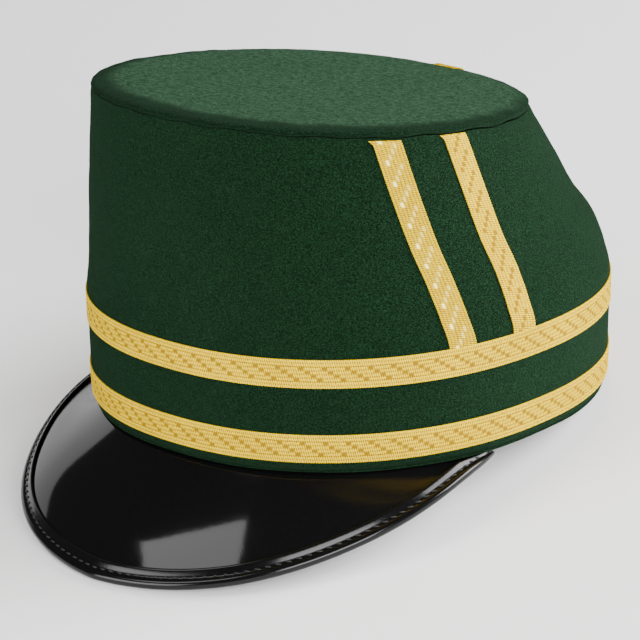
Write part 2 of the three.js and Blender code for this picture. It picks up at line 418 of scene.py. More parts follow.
class NodeBook:
    """The nodes of one material."""

    def __init__(self, name: str) -> None:
        """Starts a material with a plain principled shader.

        Args:
            name: name of the material.
        """
        self.material = bpy.data.materials.new(name)
        self.material.use_nodes = True
        self._tree = self.material.node_tree
        self._shader = self._tree.nodes["Principled BSDF"]

    def node(self, kind: str, settings: Settings, inputs: Inputs, out: int | str = 0) -> Sock:
        """Adds a node and wraps one of its outputs.

        Args:
            kind: the node's type.
            settings: its own properties, such as a Math node's operation, which are set first.
            inputs: values or links of its sockets, by name or number.
            out: the output to wrap, by name or number.

        Returns:
            The wrapped output.
        """
        made = self._tree.nodes.new(kind)
        for key, setting in settings.items():
            setattr(made, key, setting)
        for key, given in inputs.items():
            self._feed(made.inputs[key], given)
        return Sock(self, made.outputs[out])

    def _feed(self, target: bpy.types.NodeSocket, given: object) -> None:
        """Links a wrapped socket to an input, or sets the input's value.

        Args:
            target: the input.
            given: a wrapped socket, or a plain value.
        """
        if isinstance(given, Sock):
            self._tree.links.new(given.socket, target)
        else:
            target.default_value = given

    def noise(self, place: Sock, grain: Grain) -> Sock:
        """Adds a noise pattern.

        Args:
            place: coordinates that the pattern lies on.
            grain: its size and fineness.

        Returns:
            A number from 0 to 1.
        """
        inputs = {
            "Vector": place,
            "Scale": grain.scale,
            "Detail": grain.detail,
            "Roughness": grain.roughness,
        }
        return self.node("ShaderNodeTexNoise", {}, inputs, "Fac")

    def place(self) -> Sock:
        """Adds the object's own coordinates."""
        return self.node("ShaderNodeTexCoord", {}, {}, "Object")

    def stretched(self, place: Sock, scale: tuple[float, float, float]) -> Sock:
        """Adds a mapping that stretches coordinates."""
        return self.node("ShaderNodeMapping", {}, {"Vector": place, "Scale": scale})

    def attribute(self, name: str) -> Sock:
        """Adds a number kept on the mesh's points."""
        return self.node("ShaderNodeAttribute", {"attribute_name": name}, {}, "Fac")

    def blend(self, share: Sock, low: object, high: object) -> Sock:
        """Adds a mix of two colours."""
        inputs = {MIX_SHARE: share, MIX_LOW: low, MIX_HIGH: high}
        return self.node("ShaderNodeMix", {"data_type": "RGBA"}, inputs, MIX_COLOUR)

    def bump(self, height: Sock, strength: float, distance: float) -> Sock:
        """Adds a bump from a height."""
        inputs = {"Height": height, "Strength": strength, "Distance": distance}
        return self.node("ShaderNodeBump", {}, inputs)

    def finish(self, inputs: Settings) -> bpy.types.Material:
        """Feeds the shader.

        Args:
            inputs: values or links of the shader's sockets, by name.

        Returns:
            The finished material.
        """
        for key, given in inputs.items():
            self._feed(self._shader.inputs[key], given)
        return self.material


def opaque(colour: Colour) -> tuple[float, float, float, float]:
    """Adds a full alpha to a colour."""
    return (*colour, 1.0)


@dataclass(frozen=True)
class FeltFinish:
    """Wool felt: a dark green with lighter and darker fibres matted together, with painted light on the
    flat top and painted shade on its turned edge.
    """

    name: str
    deep: Colour = (0.0015, 0.0055, 0.0022)
    pale: Colour = (0.0080, 0.0276, 0.0112)
    # Painted light on the flat top: its darker and paler colours.
    painted_top_deep: Colour = (0.004, 0.012, 0.0056)
    painted_top_pale: Colour = (0.0325, 0.0765, 0.0405)
    sheen: Colour = (0.20, 0.37, 0.24)
    sheen_weight: float = 0.09
    sheen_roughness: float = 0.5
    roughness: float = 0.95
    specular: float = 0.004
    fibre: Grain = Grain(2200.0, 3.0, 0.7)
    fibre_stretch: tuple[float, float, float] = (1.0, 0.55, 1.25)
    mat: Grain = Grain(950.0, 3.0, 0.6)
    tuft: Grain = Grain(560.0, 3.0, 0.65)
    cloud: Grain = Grain(38.0)
    pale_fibres: float = 6.0
    pale_mats: float = 0.7
    pale_clouds: float = 0.25
    pale_from: float = 3.15
    # Painted light on the top: its share from fibres and tufts, less a threshold.
    painted_top_fibres: float = 2.8
    painted_top_tufts: float = 2.3
    painted_top_from: float = 2.05
    # How much darker the painted shade makes the turned edge of the top.
    painted_edge_shade: float = 0.25
    nap: float = 0.0009
    nap_strength: float = 0.85
    nap_fibres: float = 0.9
    nap_mats: float = 0.3

    def make(self) -> bpy.types.Material:
        """Makes the felt material.

        Returns:
            A material whose colour and bump come from sums of noise, the finest drawn out into fibres, with
            painted light, a paler colour, on the flat top and painted shade on its turned edge where the
            mesh has them.
        """
        book = NodeBook(self.name)
        place = book.place()
        fibres = book.noise(book.stretched(place, self.fibre_stretch), self.fibre)
        mats = book.noise(place, self.mat)
        clouds = book.noise(place, self.cloud)
        tufts = book.noise(place, self.tuft)
        # Painted shade: the felt goes darker over the turned edge of the top.
        turned = book.attribute("turned") * self.painted_edge_shade
        mixed = fibres * self.pale_fibres + mats * self.pale_mats + clouds * self.pale_clouds
        matted = book.blend(mixed - self.pale_from - turned, opaque(self.deep), opaque(self.pale))
        # Painted light: the flat top gets a paler colour, as if lit from behind.
        share = fibres * self.painted_top_fibres + tufts * self.painted_top_tufts - self.painted_top_from
        painted_top_light = book.blend(share, opaque(self.painted_top_deep), opaque(self.painted_top_pale))
        colour = book.blend(book.attribute("painted_top_light"), matted, painted_top_light)
        height = fibres * self.nap_fibres + mats * self.nap_mats
        return book.finish(
            {
                "Base Color": colour,
                "Roughness": self.roughness,
                "Specular IOR Level": self.specular,
                "Sheen Weight": self.sheen_weight,
                "Sheen Roughness": self.sheen_roughness,
                "Sheen Tint": opaque(self.sheen),
                "Normal": book.bump(height, self.nap_strength, self.nap),
            }
        )


@dataclass(frozen=True)
class BraidFinish:
    """Gold woven braid: satin thread with painted shade between the cords, a painted gleam on the raised
    threads, and painted light and shade on the floats.
    """

    name: str
    # Painted tone of the floats: pale for a highlight, brown for shade.
    painted_float_tone: Colour
    # The thread's own gold, the painted gleam on its raised threads and the painted shade of the hollows
    # between the cords.
    thread: Colour = (0.56, 0.364, 0.0003)
    gleam: Colour = (0.87, 0.594, 0.0009)
    hollow_shade: Colour = (0.11, 0.05, 0.0001)
    roughness: float = 0.46
    metallic: float = 0.12
    specular: float = 0.0
    rib_pitch: float = 0.8
    rib_slant: float = 0.3
    strand: Grain = Grain(1500.0, 2.0, 0.6)
    cloud: Grain = Grain(60.0)
    lit_relief: float = 1.2
    lit_ribs: float = 0.9
    lit_strands: float = 0.8
    lit_from: float = 1.2
    gleam_strands: float = 1.6
    gleam_clouds: float = 0.6
    gleam_ribs: float = 0.9
    gleam_from: float = 1.35
    roughness_swing: float = 0.3
    strand_height: float = 0.5
    rib_height: float = 0.7
    rib_depth: float = 0.00016
    rib_strength: float = 0.6

    def make(self) -> bpy.types.Material:
        """Makes a braid material.

        Returns:
            A material that reads the cords and floats kept on the mesh, and runs fine ribs across them from
            the distances along and across the braid.
        """
        book = NodeBook(self.name)
        place = book.place()
        strands = book.noise(place, self.strand)
        clouds = book.noise(place, self.cloud)
        relief = book.attribute("relief")
        slant = book.attribute("across") * self.rib_slant
        ribs = (book.attribute("along") * (1 / self.rib_pitch) + slant).ripple()
        # Painted shade: the thread goes dark toward the hollows between the cords.
        lit = relief * self.lit_relief + ribs * self.lit_ribs + strands * self.lit_strands - self.lit_from
        thread = book.blend(lit, opaque(self.hollow_shade), opaque(self.thread))
        # Painted highlight: a paler gold on the raised threads, where the strands and ribs shine.
        shine = strands * self.gleam_strands + clouds * self.gleam_clouds + ribs * self.gleam_ribs
        glossy = book.blend((shine - self.gleam_from) * relief, thread, opaque(self.gleam))
        # Painted light and shade on the floats.
        colour = book.blend(book.attribute("floats"), glossy, opaque(self.painted_float_tone))
        height = strands * self.strand_height + ribs * self.rib_height
        return book.finish(
            {
                "Base Color": colour,
                "Roughness": self.roughness + (NOISE_MIDDLE - strands) * self.roughness_swing,
                "Metallic": self.metallic,
                "Specular IOR Level": self.specular,
                "Normal": book.bump(height, self.rib_strength, self.rib_depth),
            }
        )


@dataclass(frozen=True)
class PatentFinish:
    """Black patent: a glossy black with a faint swell and fine dust, duller where the mesh says so."""

    name: str
    black: Colour = (0.0012, 0.0012, 0.0013)
    worn: Colour = (0.0035, 0.0035, 0.0037)
    roughness: float = 0.05
    roughness_swing: float = 0.04
    dull_roughness: float = 0.16
    specular: float = 0.24
    swell: Grain = Grain(55.0, 2.0, 0.4)
    dust: Grain = Grain(900.0, 2.0, 0.6)
    dust_share: float = 0.15
    swell_height: float = 0.0002
    swell_strength: float = 0.16

    def make(self) -> bpy.types.Material:
        """Makes a patent material.

        Returns:
            A material whose colour and roughness vary with the dust, and its bump with swell and dust.
        """
        book = NodeBook(self.name)
        place = book.place()
        swell = book.noise(place, self.swell)
        dust = book.noise(place, self.dust)
        height = swell * (1 - self.dust_share) + dust * self.dust_share
        dull = book.attribute("dull") * self.dull_roughness
        return book.finish(
            {
                "Base Color": book.blend(dust, opaque(self.black), opaque(self.worn)),
                "Roughness": self.roughness + dust * self.roughness_swing + dull,
                "Specular IOR Level": self.specular,
                "Normal": book.bump(height, self.swell_strength, self.swell_height),
            }
        )


@dataclass(frozen=True)
class FloorFinish:
    """Plain pale floor."""

    tone: Colour = (0.93, 0.93, 0.93)
    roughness: float = 0.85
    cloud: Grain = Grain(30.0)
    cloud_share: float = 0.02

    def make(self) -> bpy.types.Material:
        """Makes the floor material.

        Returns:
            A matt material with faint clouds.
        """
        book = NodeBook("pale_floor")
        clouds = book.noise(book.place(), self.cloud)
        shade = tuple(part * (1 - self.cloud_share) for part in self.tone)
        colour = book.blend(clouds, opaque(shade), opaque(self.tone))
        return book.finish({"Base Color": colour, "Roughness": self.roughness})


def dress_piece(
    piece: bpy.types.Object, finish: bpy.types.Material, nodes: tuple[str, ...] = ()
) -> None:
    """Gives a piece its finish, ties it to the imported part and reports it.

    Args:
        piece: the new object.
        finish: its material.
        nodes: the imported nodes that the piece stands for, if any.
    """
    piece.data.materials.append(finish)
    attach(piece, BODY)
    if nodes:
        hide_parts(*nodes)
    LOG.info("%s: %d faces", piece.name, len(piece.data.polygons))


@dataclass(frozen=True)
class Seam:
    """How the sewn seam draws in the felt beside it."""

    pinch: float = 0.25
    pinch_reach: float = 1.2
    pucker: float = 0.16
    pucker_reach: float = 4.5
    pucker_pitch: float = 11.0
    pucker_seed: int = 5
    wander: float = 0.4
    wander_reach: float = 2.0
    wander_pitch: float = 17.0
    wander_seed: int = 16

    def draw_in(self, points: Array, distance: Array) -> Array:
        """Gives how far the felt goes in at a distance from the seam.

        A bell-shaped groove along the seam, plus puckers: waves along the seam that die out beside it.

        Args:
            points: places on the felt.
            distance: distance of each from the seam, in millimetres.

        Returns:
            Depth in millimetres.
        """
        groove = self.pinch * np.exp(-((distance / self.pinch_reach) ** 2))
        waves = uneven(points * IN_PLAN, self.pucker_pitch, self.pucker_seed)
        return groove + self.pucker * waves * np.exp(-((distance / self.pucker_reach) ** 2))

    def stray(self, edge: Array, distance: Array) -> Array:
        """Gives how far the sewn line strays up or down, dying out beside the seam.

        Args:
            edge: places on the seam.
            distance: distance from the seam, in millimetres.

        Returns:
            Height in millimetres.
        """
        waves = uneven(edge * IN_PLAN, self.wander_pitch, self.wander_seed)
        return self.wander * waves * np.exp(-((distance / self.wander_reach) ** 2))


@dataclass(frozen=True)
class Lip:
    """The turned edge of the top, from the seam to the flat: distance inward and height above the seam.

    Its first rows are the undercut, where the felt is drawn in below the edge.
    """

    inward: tuple[float, ...] = (1.1, 0.35, -0.15, -0.2, 0.25, 1.3, 3.0, 5.4, 8.6, 13.0)
    up: tuple[float, ...] = (0.12, 0.3, 0.75, 1.3, 1.9, 2.45, 2.85, 3.1, 3.25, 3.3)
    undercut: int = 2

    def at(self, run: Array) -> tuple[Array, Array]:
        """Gives distance inward and height at a run from 0 at the seam to 1 at the flat."""
        knots = np.linspace(0, 1, len(self.inward))
        return smooth_run(knots, np.array(self.inward), run), smooth_run(knots, np.array(self.up), run)

    def after(self, travel: Array) -> tuple[Array, Array]:
        """Gives distance inward and height after travelling some millimetres over the edge from the seam.

        Args:
            travel: distance over the edge, bridging the undercut, in millimetres.

        Returns:
            Distance inward and height, in millimetres.
        """
        inward = np.array([0.0, *self.inward[self.undercut :]])
        up = np.array([0.0, *self.up[self.undercut :]])
        lengths = lengths_along(np.stack([inward, up], axis=-1))
        travel = np.minimum(travel, lengths[-1])
        return smooth_run(lengths, inward, travel), smooth_run(lengths, up, travel)


@dataclass
class Crown:
    """The felt wall and the felt top."""

    form: FeltForm
    frame: CapFrame
    lip: Lip = Lip()
    seam: Seam = Seam()
    felt: FeltFinish = FeltFinish("wool_felt")
    around: int = 480
    outer_rows: int = 90
    outer_power: float = 0.92
    inner_rows: int = 28
    rim_rows: int = 12
    hill: float = 0.1
    hill_pitch: float = 40.0
    hill_seed: int = 11
    lump: float = 0.05
    lump_pitch: float = 7.0
    lump_seed: int = 12
    calm_below: float = 2.0
    rim_wave: float = 0.125
    rim_seed: int = 13
    rim_power: float = 0.55
    seam_gap: float = 0.15
    seam_row: float = 0.15
    lip_rows: int = 40
    disc_rows: int = 22
    disc_shrink: float = 0.97
    top_hill: float = 0.12
    top_hill_seed: int = 14
    top_lump_seed: int = 15
    top_calm_from: float = 0.8
    turned_reach: float = 4.0
    turned_lean: float = 0.6
    # Painted light on the flat top: where it starts and where it is full, how much nearer the edge it comes
    # at the rear, and the wobble of its border.
    painted_top_from: float = 6.2
    painted_top_full: float = 12.4
    painted_top_rear_shift: float = 5.5
    painted_top_wobble: float = 0.8
    painted_top_wobble_pitch: float = 9.0
    painted_top_wobble_seed: int = 17
    under_rows: int = 8
    under_rise: float = 0.6

    def _turns(self) -> Array:
        """Gives the angles of the columns."""
        return np.arange(self.around) / self.around * FULL_TURN

    def _soften(self, points: Array) -> Array:
        """Gives the felt's unevenness at points."""
        hills = self.hill * uneven(points, self.hill_pitch, self.hill_seed)
        return hills + self.lump * uneven(points, self.lump_pitch, self.lump_seed)

    def build_side(self) -> bpy.types.Object:
        """Builds the wall: outer face up to the seam, inner face down again, and a rounded rim.

        The outer face is the felt form moved along its normal by unevenness, less the seam's draw. The rim
        is a squared half circle across the wall. What would lie below the floor is pressed flat onto it.

        Returns:
            The wall.
        """
        form = self.form
        half = form.wall / 2
        turns = self._turns()[None]
        share = np.linspace(0, 1, self.outer_rows)[:, None]
        levels = form.rim + half + (form.seam - self.seam_gap - form.rim - half) * share**self.outer_power
        levels = np.concatenate([levels[:-1], levels[-1:] - self.seam_row, levels[-1:]])
        face = form.face(turns, levels)
        shift = self._soften(face) - self.seam.draw_in(face, form.seam - levels)
        shift = shift * ease(levels, form.rim, self.calm_below)
        outer = face + form.normal(turns, levels) * shift[..., None]
        outer[..., 2] += self.seam.stray(form.face(turns, np.full((1, 1), form.seam)), form.seam - levels)
        inner_levels = np.linspace(form.seam - self.seam_gap, form.rim + half, self.inner_rows)[:, None]
        inner = form.off(turns, inner_levels, -form.wall)
        swing = np.linspace(0, math.pi, self.rim_rows + 2)[1:-1, None][::-1]
        across = np.sign(np.cos(swing)) * np.abs(np.cos(swing)) ** self.rim_power
        fall = half * np.sin(swing) ** self.rim_power
        rim = form.off(turns, form.rim + half, -half - half * across * np.ones_like(turns))
        droop = 1 + self.rim_wave * uneven(rim * IN_PLAN, self.hill_pitch, self.rim_seed)
        rim = rim - np.stack([0 * droop, 0 * droop, fall * droop], axis=-1)
        shell = Shell(self.frame)
        shell.grid(np.concatenate([outer, inner, rim]), close_rows=True, close_columns=True)
        piece = shell.build("felt_wall")
        self._press_flat(piece)
        return piece

    def _press_flat(self, piece: bpy.types.Object) -> None:
        """Presses what lies below the floor flat onto it.

        Args:
            piece: the wall.
        """
        count = len(piece.data.vertices)
        places = np.empty(count * 3, np.float32)
        piece.data.vertices.foreach_get("co", places)
        places = places.reshape(count, 3)
        places[:, 2] = np.maximum(places[:, 2], 0)
        piece.data.vertices.foreach_set("co", places.ravel())
        piece.data.update()

    def build_top(self) -> bpy.types.Object:
        """Builds the top: a lip turned up from the seam, a flat disc and a plain underside.

        A point is the seam's oval moved in toward its middle and up square to it, by the two columns of the
        lip's table. The disc shrinks the lip's last oval to its middle. The flat is marked for painted
        light, paler as if lit from behind, and the turned edge for painted shade; the painted light comes
        nearer to the edge at the rear.

        Returns:
            The top.
        """
        form = self.form
        middle, upward = form.top_frame()
        turns = self._turns()[None]
        edge = form.face(turns, np.full((1, 1), form.seam))
        toward = middle - edge
        length = np.linalg.norm(toward, axis=-1, keepdims=True)
        inward, height = self.lip.at(np.linspace(0, 1, self.lip_rows)[:, None, None])
        lip = edge + toward / length * inward + upward * height
        shrink = 1 - np.linspace(0, 1, self.disc_rows + 1)[1:, None, None] * self.disc_shrink
        core = middle + upward * self.lip.up[-1]
        upper = np.concatenate([lip, core + (lip[-1:] - core) * shrink])
        outward = unit(-toward)
        travel = np.linalg.norm(upper - edge, axis=-1)
        draw = self.seam.draw_in(np.broadcast_to(edge, upper.shape), travel)
        turned = np.exp(-((travel / self.turned_reach) ** 2))[..., None]
        facing = unit(outward * turned + upward * (1 - turned * self.turned_lean))
        calm = 1 - ease(np.linspace(0, 1, len(upper)), self.top_calm_from, 1)[:, None]
        hills = self.top_hill * uneven(upper, self.hill_pitch, self.top_hill_seed) * calm
        upper = upper - facing * (draw - hills)[..., None]
        lumps = self.lump * uneven(upper, self.lump_pitch, self.top_lump_seed) * calm
        upper = upper + facing * lumps[..., None]
        upper = upper + upward * self.seam.stray(edge, travel)[..., None]
        depth = np.linspace(0, 1, self.under_rows)[:, None, None]
        inset = form.wall + (length - form.wall) * self.disc_shrink * depth
        lower = edge + toward / length * inset + upward * (self.seam_gap + depth * self.under_rise)
        shell = Shell(self.frame)
        top = shell.grid(upper, close_columns=True)
        under = shell.grid(lower[::-1], close_columns=True)
        shell.join(under[-1], top[0], close=True)
        shell.cap(top[-1])
        shell.cap(under[0][::-1])
        # Masks of the painted light on the flat top and the painted shade on its turned edge.
        bumps = self.painted_top_wobble * uneven(edge, self.painted_top_wobble_pitch, self.painted_top_wobble_seed)
        rearward = self.painted_top_rear_shift * (1 - np.cos(turns)) / 2
        flat = ease(travel + bumps + rearward, self.painted_top_from, self.painted_top_full)
        blank = np.zeros(lower.shape[:2])
        values = {"painted_top_light": np.concatenate([flat, blank]), "turned": np.concatenate([1 - flat, blank])}
        return shell.build("felt_top", values)

    def dress(self) -> None:
        """Builds the wall and the top and dresses them in one felt."""
        felt = self.felt.make()
        dress_piece(self.build_side(), felt, ("crown_side",))
        dress_piece(self.build_top(), felt, ("crown_top",))


class Lean(Enum):
    """Which way the groups of floats step along the braid, from its lower edge to its upper edge."""

    FORWARD = 1
    BACK = -1


@dataclass(frozen=True)
class Weave:
    """The braid's weave: rope-twist borders and lengthwise cords, crossed by stepped floats."""

    width: float = 11.1
    thick: float = 0.32
    border: float = 2.35
    border_ropes: int = 2
    edge_phase: float = 0.25
    twist_pitch: float = 1.0
    twist_relief: float = 0.24
    twist_floor: float = 0.45
    twist_slant: float = 0.5
    border_shine: float = 1.2
    cords: int = 4
    cord_relief: float = 0.2
    join: float = 0.12
    float_repeat: float = 8.25
    float_step: float = 2.2
    float_half: float = 1.0
    float_soft: float = 0.35
    float_sunk: float = 0.1
    float_cord_from: float = 0.35
    float_cord_full: float = 0.75
    scallop: float = 0.14
    scallop_reach: float = 1.0

    def relief(self, along: Array, across: Array, lean: Lean, later: float) -> tuple[Array, Array, Array]:
        """Gives the weave's height, its relief from 0 to 1 and where the floats are.

        A border is two ropes: half-round ridges cut by slanted twists. The field is four half-round cords.
        A float is a short bar on one cord, and the bars of neighbouring cords step along, so that they make
        slanted groups.

        Args:
            along: distance along the braid, in millimetres.
            across: distance from its middle line, in millimetres.
            lean: which way the floats step.
            later: strength of the floats after the first of each group.

        Returns:
            Height in millimetres, relief and float share.
        """
        edge = self.width / 2 - np.abs(across)
        rope = edge / self.border * self.border_ropes
        phase_left = 1 - self.edge_phase / self.border_ropes
        swing = self.edge_phase + np.clip(rope, 0, self.border_ropes) * phase_left
        ridge = np.abs(np.sin(math.pi * swing))
        slant = np.sign(across) * rope * self.twist_slant
        twist = np.abs(np.sin(math.pi * (along / self.twist_pitch + slant)))
        border = np.sqrt(ridge) * (self.twist_floor + (1 - self.twist_floor) * np.sqrt(twist))
        field_width = self.width - 2 * self.border
        row = (across + field_width / 2) / field_width * self.cords
        number = np.clip(np.floor(row), 0, self.cords - 1)
        cord = np.sqrt(np.abs(np.sin(math.pi * row)))
        inside = ease(edge, self.border - self.join, self.border + self.join)
        half_repeat = self.float_repeat / 2
        place = along - lean.value * number * self.float_step
        reach = np.abs(np.mod(place + half_repeat, self.float_repeat) - half_repeat)
        soft = self.float_soft / 2
        bars = 1 - ease(reach, self.float_half - soft, self.float_half + soft)
        raised = ease(cord, self.float_cord_from, self.float_cord_full)
        floats = bars * inside * np.where(number == 0, 1, later) * raised * np.ones_like(along)
        # Relief sets the painted shade and highlight in the braid's colour, and the borders get more of it.
        relief = (border * self.border_shine * (1 - inside) + cord * inside) * np.ones_like(along)
        height = border * self.twist_relief * (1 - inside) + cord * self.cord_relief * inside
        return height - floats * self.float_sunk, relief, floats

    def edge_shift(self, along: Array, across: Array) -> Array:
        """Gives the small scallops that the twists make along both edges."""
        share = ease(np.abs(across), self.width / 2 - self.scallop_reach, self.width / 2)
        return np.sign(across) * share * self.scallop * np.abs(np.sin(math.pi * along / self.twist_pitch))


@dataclass(frozen=True)
class StripeRow:
    """Where one stripe leaves the upper band and meets the seam, in degrees from the front.

    It runs over the turned edge by some millimetres, or ends before the seam where that is below zero. Its
    end flares toward the front, and its floats are pale or of the bands' brown.
    """

    node: str
    foot: float
    head: float
    over: float
    flare: float
    pale: bool


STRIPE_ROWS = (
    StripeRow("stripe_left_front", 69.8, 63.7, -0.9, 1.3, True),
    StripeRow("stripe_left_rear", 85.6, 84.2, -0.2, 1.3, False),
    StripeRow("stripe_right_front", -69.8, -63.7, -0.9, 1.3, True),
    StripeRow("stripe_right_rear", -85.6, -84.2, -0.2, 1.3, False),
    StripeRow("stripe_back", 180.0, 180.0, 7.8, 0.0, True),
)


@dataclass
class Braid:
    """The bands and stripes of braid."""

    form: FeltForm
    frame: CapFrame
    lip: Lip = Lip()
    weave: Weave = Weave()
    band_weave: Weave = Weave(width=10.4)
    # The floats' painted shade, brown, on the bands and rear stripes, and their painted highlight, pale, on
    # the other stripes.
    brown: BraidFinish = BraidFinish("gold_braid_brown_floats", painted_float_tone=(0.24, 0.13, 0.004))
    pale: BraidFinish = BraidFinish(
        "gold_braid_pale_floats",
        painted_float_tone=(0.95, 0.77, 0.22),
        thread=(0.43, 0.28, 0.0002),
        gleam=(0.66, 0.45, 0.0005),
    )
    standoff: float = 0.15
    step: float = 0.25
    across_rows: int = 36
    lower_from: float = 0.2
    upper_from: float = 28.75
    samples: int = 4000
    tuck: float = 0.05
    end_thin: float = 0.6
    end_reach: float = 2.5
    back_relief: float = 1.0
    brown_later: float = 1.0
    pale_later: float = 0.35

    @property
    def stripe_foot(self) -> float:
        """Level where the stripes leave the upper band."""
        return self.upper_from + self.band_weave.width + self.tuck

    def _across(self, weave: Weave) -> Array:
        """Gives the rows' places across a braid."""
        half = weave.width / 2
        return np.linspace(-half, half, self.across_rows)[:, None]

    def _values(self, relief: Array, floats: Array, along: Array, across: Array) -> dict[str, Array]:
        """Gives the numbers kept on the points, with a plain back of two rows.

        Args:
            relief: height of the weave from 0 to 1.
            floats: share of float tone.
            along: distance along the braid, in millimetres.
            across: distance from its middle line, in millimetres.

        Returns:
            Arrays by attribute name.
        """
        rows = {"relief": relief, "floats": floats, "along": along, "across": across}
        grids = {label: np.broadcast_to(numbers, relief.shape) for label, numbers in rows.items()}
        values = {label: np.concatenate([grid, grid[[-1, 0]]]) for label, grid in grids.items()}
        values["relief"][-2:] = self.back_relief
        return values

    def build_band(self, name: str, start: float) -> bpy.types.Object:
        """Builds a band round the cap, from the middle of the back and round to it again.

        Columns lie at equal steps along the felt's oval and rows across the braid. Each point stands off
        the felt by the braid's thickness and its weave, and a plain back closes the loop of each section.

        Args:
            name: name of the piece.
            start: level of its lower edge.

        Returns:
            The band.
        """
        form = self.form
        weave = self.band_weave
        middle = start + weave.width / 2
        dense = np.linspace(-math.pi, math.pi, self.samples + 1)
        line = form.off(dense, middle, self.standoff + weave.thick)
        lengths = lengths_along(line)
        repeats = round(lengths[-1] / weave.float_repeat)
        along = np.linspace(0, lengths[-1], round(lengths[-1] / self.step) + 1)[None, :-1]
        turns = np.interp(along, lengths, dense)
        pattern = along * (repeats * weave.float_repeat / lengths[-1])
        across = self._across(weave)
        height, relief, floats = weave.relief(pattern, across, Lean.BACK, self.brown_later)
        levels = middle + across + weave.edge_shift(pattern, across)
        outer = form.off(turns, levels, self.standoff + weave.thick + height)
        back = form.off(turns, np.array([[levels.max()], [levels.min()]]), self.standoff)
        shell = Shell(self.frame)
        shell.grid(np.concatenate([outer, back]), close_rows=True, close_columns=True)
        return shell.build(name, self._values(relief, floats, pattern, across))

    def build_stripe(self, name: str, row: StripeRow) -> bpy.types.Object:
        """Builds a stripe from the upper band to the seam.

        Its middle line turns evenly with the level. Rows lie across it along the felt's oval. Past the seam
        it follows the turned edge of the top for a little, thinner and spread toward the front.

        Args:
            name: name of the piece.
            row: where it starts and ends.

        Returns:
            The stripe.
        """
        form = self.form
        dense = np.linspace(self.stripe_foot, form.seam, self.samples)
        line = form.face(self.middle_turn(row, dense), dense)
        lengths = lengths_along(line)
        total = lengths[-1] + row.over
        along = np.linspace(0, total, round(total / self.step))[None]
        levels = np.interp(along, lengths, dense)
        over = np.maximum(along - lengths[-1], 0)
        middle = self.middle_turn(row, levels)
        side = form.face(middle + form.turn_step, levels) - form.face(middle - form.turn_step, levels)
        per_turn = np.linalg.norm(side, axis=-1) / (2 * form.turn_step)
        across = self._across(self.weave)
        later = self.pale_later if row.pale else self.brown_later
        height, relief, floats = self.weave.relief(along, across, Lean.FORWARD, later)
        relief[:, -1] = self.back_relief
        floats[:, -1] = 0
        ending = ease(along, total - self.end_reach, total)
        forward = -math.copysign(1.0, row.foot)
        front_share = ease(across * forward, 0, self.weave.width / 2)
        flare = forward * row.flare * ending**2 * front_share
        turns = middle + (across + self.weave.edge_shift(along, across) + flare) / per_turn
        lift = self.standoff + (self.weave.thick + height) * (1 - self.end_thin * ending)
        outer = self._lay(turns, levels, over, lift)
        ends = turns[[-1, 0]]
        back = self._lay(ends, levels, over, np.full_like(ends, self.standoff))
        shell = Shell(self.frame)
        index = shell.grid(np.concatenate([outer, back]), close_rows=True)
        shell.cap(index[::-1, 0])
        shell.cap(index[:, -1])
        return shell.build(name, self._values(relief, floats, along, across))

    def _lay(self, turns: Array, levels: Array, travel: Array, lift: Array) -> Array:
        """Lays points on the felt, or on the turned edge of the top where they travel past the seam.

        Args:
            turns: angle of each point.
            levels: level of each column.
            travel: distance of each column past the seam, or 0.
            lift: height of each point above the felt.

        Returns:
            Points moved off the felt along its own outward direction there.
        """
        form = self.form
        levels = np.broadcast_to(levels, turns.shape)
        travel = np.broadcast_to(travel, turns.shape)
        middle, upward = form.top_frame()
        seam = form.face(turns, np.full_like(turns, form.seam))
        toward = unit(middle - seam)
        inward, height = (part[..., None] for part in self.lip.after(travel))
        next_inward, next_height = (part[..., None] for part in self.lip.after(travel + self.step))
        facing = unit(upward * (next_inward - inward) - toward * (next_height - height))
        past = (travel > 0)[..., None]
        base = np.where(past, seam + toward * inward + upward * height, form.face(turns, levels))
        return base + np.where(past, facing, form.normal(turns, levels)) * lift[..., None]

    def middle_turn(self, row: StripeRow, level: Array) -> Array:
        """Gives the angle of a stripe's middle line at a level, in radians."""
        share = (level - self.stripe_foot) / (self.form.seam - self.stripe_foot)
        return np.radians(row.foot + (row.head - row.foot) * share)

    def dress(self) -> None:
        """Builds the bands and stripes and dresses them in gold, with brown or pale floats."""
        brown = self.brown.make()
        pale = self.pale.make()
        for place, start in (("lower", self.lower_from), ("upper", self.upper_from)):
            band = self.build_band(f"braid_band_{place}", start)
            dress_piece(band, brown, (f"band_{place}",))
        for row in STRIPE_ROWS:
            stripe = self.build_stripe(f"braid_{row.node}", row)
            dress_piece(stripe, pale if row.pale else brown, (row.node,))


